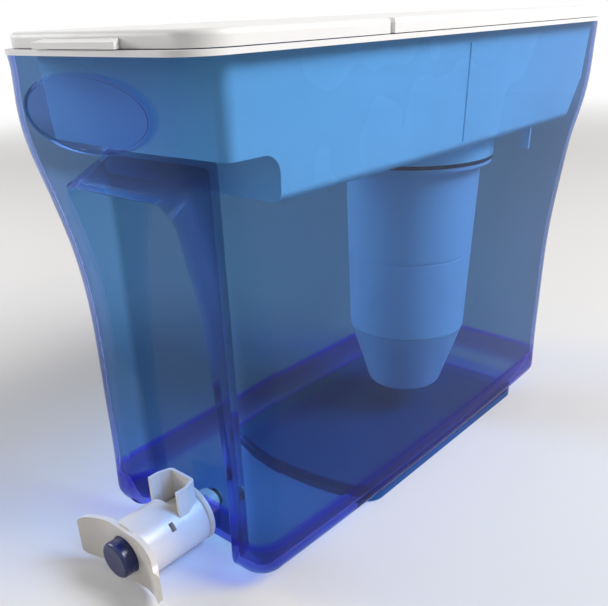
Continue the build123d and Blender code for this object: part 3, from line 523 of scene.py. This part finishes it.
def wire_coil():
    """Geometry Nodes tree for a round wire wound about an axis along Y, from its rear end forwards."""
    tree = bpy.data.node_groups.new("wire_coil", "GeometryNodeTree")
    sockets = {
        "Turns": "Float",
        "Coil Radius": "Float",
        "Wire Radius": "Float",
        "Length": "Float",
        "Rear End": "Vector",
        "Finish": "Material",
    }
    for name, kind in sockets.items():
        tree.interface.new_socket(name, in_out="INPUT", socket_type="NodeSocket" + kind)
    tree.interface.new_socket("Coil", in_out="OUTPUT", socket_type="NodeSocketGeometry")
    given = tree.nodes.new("NodeGroupInput").outputs

    def step(kind, **inputs):
        made = tree.nodes.new("GeometryNode" + kind)
        for name, value in inputs.items():
            socket = made.inputs[name.replace("_", " ")]
            if isinstance(value, bpy.types.NodeSocket):
                tree.links.new(value, socket)
            else:
                socket.default_value = value
        return made.outputs[0]

    path = step(
        "CurveSpiral",
        Resolution=COIL_STEPS,
        Rotations=given["Turns"],
        Start_Radius=given["Coil Radius"],
        End_Radius=given["Coil Radius"],
        Height=given["Length"],
    )
    ring = step("CurvePrimitiveCircle", Resolution=WIRE_SIDES, Radius=given["Wire Radius"])
    wire = step("CurveToMesh", Curve=path, Profile_Curve=ring, Fill_Caps=True)
    lying = (math.pi / 2, 0.0, 0.0)
    turned = step("Transform", Geometry=wire, Translation=given["Rear End"], Rotation=lying)
    smooth = step("SetShadeSmooth", Geometry=turned)
    plain = step("RealizeInstances", Geometry=smooth)
    coil = step("SetMaterial", Geometry=plain, Material=given["Finish"])
    tree.links.new(coil, tree.nodes.new("NodeGroupOutput").inputs["Coil"])
    return tree


def wound_mesh(name, sizes):
    """Plain mesh that the wire_coil tree gives for the sizes, which have its inputs' names."""
    maker = bpy.data.objects.new("coil_maker", bpy.data.meshes.new("coil_maker"))
    bpy.context.scene.collection.objects.link(maker)
    modifier = maker.modifiers.new("coil", "NODES")
    modifier.node_group = wire_coil()
    for item in modifier.node_group.interface.items_tree:
        if item.in_out == "INPUT":
            modifier[item.identifier] = sizes[item.name]
    ready = maker.evaluated_get(bpy.context.evaluated_depsgraph_get())
    mesh = bpy.data.meshes.new_from_object(ready)
    mesh.name = name
    bpy.data.objects.remove(maker)
    return mesh


def add_piece(name, mesh, body, node):
    """Shows a mesh in place of a CAD node and lets it ride on a body."""
    piece = bpy.data.objects.new(name, mesh)
    bpy.context.scene.collection.objects.link(piece)
    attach(piece, body)
    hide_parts(node)
    return piece


def add_spring(steel):
    """Return spring, wound anew as a coil that rides on the plunger."""
    low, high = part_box("tap_spring")
    length = high[1] - low[1]
    axis_height = (low[2] + high[2]) / 2
    sizes = {
        "Turns": SPRING_TURNS,
        "Coil Radius": (high[0] - low[0]) / 2 - SPRING_WIRE,
        "Wire Radius": SPRING_WIRE,
        "Length": length - 2 * SPRING_WIRE,
        "Rear End": (0.0, high[1] - SPRING_WIRE, axis_height),
        "Finish": steel,
    }
    mesh = wound_mesh("return_spring", sizes)
    spring = add_piece("return_spring", mesh, "plunger", "tap_spring")
    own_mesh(spring)


def add_foam_pad():
    """Foam pad over the resin: flat below, with a soft edge, a crown and a few lumps on top."""
    low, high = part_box("filter_foam_pad")
    middle = (Vector(low) + Vector(high)) / 2
    radius = (high[0] - low[0]) / 2 - PAD_ROOM
    thick = high[2] - low[2]
    crown = [(share, PAD_CROWN_TOP - PAD_CROWN_FALL * share * share) for share in PAD_CROWN_STEPS]
    shape = bmesh.new()
    rings = []
    for reach, height in PAD_EDGE + crown:
        ring = []
        for step in range(PAD_SIDES):
            turn = 2 * math.pi * step / PAD_SIDES
            place = Vector((radius * reach * math.cos(turn), radius * reach * math.sin(turn), 0.0))
            lump = PAD_LUMP * noise.noise(place * PAD_LUMPS) * height
            level = low[2] + thick * height + lump
            ring.append(shape.verts.new((middle.x + place.x, middle.y + place.y, level)))
        rings.append(ring)
    for lower, upper in zip(rings, rings[1:]):
        for step in range(PAD_SIDES):
            after = (step + 1) % PAD_SIDES
            shape.faces.new((lower[step], lower[after], upper[after], upper[step]))
    shape.faces.new(list(reversed(rings[0])))
    shape.faces.new(rings[-1])
    for face in shape.faces:
        face.smooth = True
    mesh = bpy.data.meshes.new("foam_pad")
    shape.to_mesh(mesh)
    shape.free()
    mesh.materials.append(open_foam())
    pad = add_piece("foam_pad", mesh, "filter", "filter_foam_pad")


def add_camera():
    """Camera at the photograph's viewing angle, shifted as its framing needs."""
    azimuth = math.radians(CAMERA_AZIMUTH)
    elevation = math.radians(CAMERA_ELEVATION)
    roll = math.radians(CAMERA_ROLL)
    flat = math.cos(elevation)
    back = Vector((math.sin(azimuth) * flat, -math.cos(azimuth) * flat, math.sin(elevation)))
    level = Vector((math.cos(azimuth), math.sin(azimuth), 0.0))
    upright = back.cross(level)
    right = math.cos(roll) * level + math.sin(roll) * upright
    up = -math.sin(roll) * level + math.cos(roll) * upright
    turn = Matrix((right, up, back)).transposed().to_4x4()
    camera = bpy.data.objects.new("camera", bpy.data.cameras.new("camera"))
    bpy.context.scene.collection.objects.link(camera)
    camera.matrix_world = Matrix.Translation(CAMERA_AT) @ turn
    camera.data.sensor_width = SENSOR_MM
    camera.data.lens = FOCAL_PX * SENSOR_MM / PHOTO_WIDTH
    camera.data.shift_x = (PHOTO_WIDTH / 2 - AXIS_X_PX) / PHOTO_WIDTH
    camera.data.shift_y = (AXIS_Y_PX - PHOTO_HEIGHT / 2) / PHOTO_WIDTH
    camera.data.clip_start = CAMERA_NEAR
    bpy.context.scene.camera = camera


def sweep_profile():
    """Distance behind the object and height: the floor, the bend and the wall behind."""
    bend = SWEEP_DEPTH - SWEEP_RADIUS
    profile = [(-SWEEP_DEPTH, -FLOOR_GAP), (bend, -FLOOR_GAP)]
    for step in range(1, SWEEP_STEPS + 1):
        turn = math.pi / 2 * step / SWEEP_STEPS
        rise = SWEEP_RADIUS - SWEEP_RADIUS * math.cos(turn)
        profile.append((bend + SWEEP_RADIUS * math.sin(turn), rise - FLOOR_GAP))
    profile.append((SWEEP_DEPTH, SWEEP_TOP))
    return profile


def add_sweep():
    """Floor that bends up into a wall behind the object, square to the camera."""
    corners = []
    faces = []
    for index, (along, rise) in enumerate(sweep_profile()):
        corners.append((-SWEEP_HALF_W, along, rise))
        corners.append((SWEEP_HALF_W, along, rise))
        if index:
            faces.append((2 * index - 2, 2 * index - 1, 2 * index + 1, 2 * index))
    mesh = bpy.data.meshes.new("sweep")
    mesh.from_pydata(corners, [], faces)
    mesh.transform(Matrix.Rotation(math.radians(CAMERA_AZIMUTH), 4, "Z"))
    mesh.polygons.foreach_set("use_smooth", [True] * len(faces))
    mesh.materials.append(pale_floor())
    sweep = bpy.data.objects.new("sweep", mesh)
    bpy.context.scene.collection.objects.link(sweep)


def add_lamp(name, place, aim, size, watts, colour):
    """Square soft lamp at a place, turned to its aim."""
    lamp = bpy.data.objects.new(name, bpy.data.lights.new(name, "AREA"))
    lamp.data.size = size
    lamp.data.energy = watts
    lamp.data.color = colour
    lamp.location = place
    lamp.rotation_mode = "QUATERNION"
    lamp.rotation_quaternion = (Vector(place) - Vector(aim)).to_track_quat("Z", "Y")
    bpy.context.scene.collection.objects.link(lamp)


def add_studio():
    """Pale sweep, a soft key from the right and above, a lamp on the left, a weak fill and an even world."""
    add_sweep()
    add_lamp("key", (1.45, 0.76, 1.59), TANK_MIDDLE, size=1.0, watts=51.0, colour=(1.0, 0.98, 0.96))
    add_lamp("left_side", (-1.3, -0.7, 0.75), TANK_MIDDLE, size=0.6, watts=13.0, colour=(0.98, 0.98, 1.0))
    add_lamp("fill", (-0.2, -1.6, 0.9), TAP_SIDE, size=1.4, watts=1.0, colour=(1.0, 0.94, 0.88))
    bpy.context.scene.world = white_world()


bpy.context.scene.view_settings.view_transform = "Standard"
wire_steel = drawn_steel()
add_camera()
add_studio()
paint_nodes(wire_steel)
add_spring(wire_steel)
add_foam_pad()
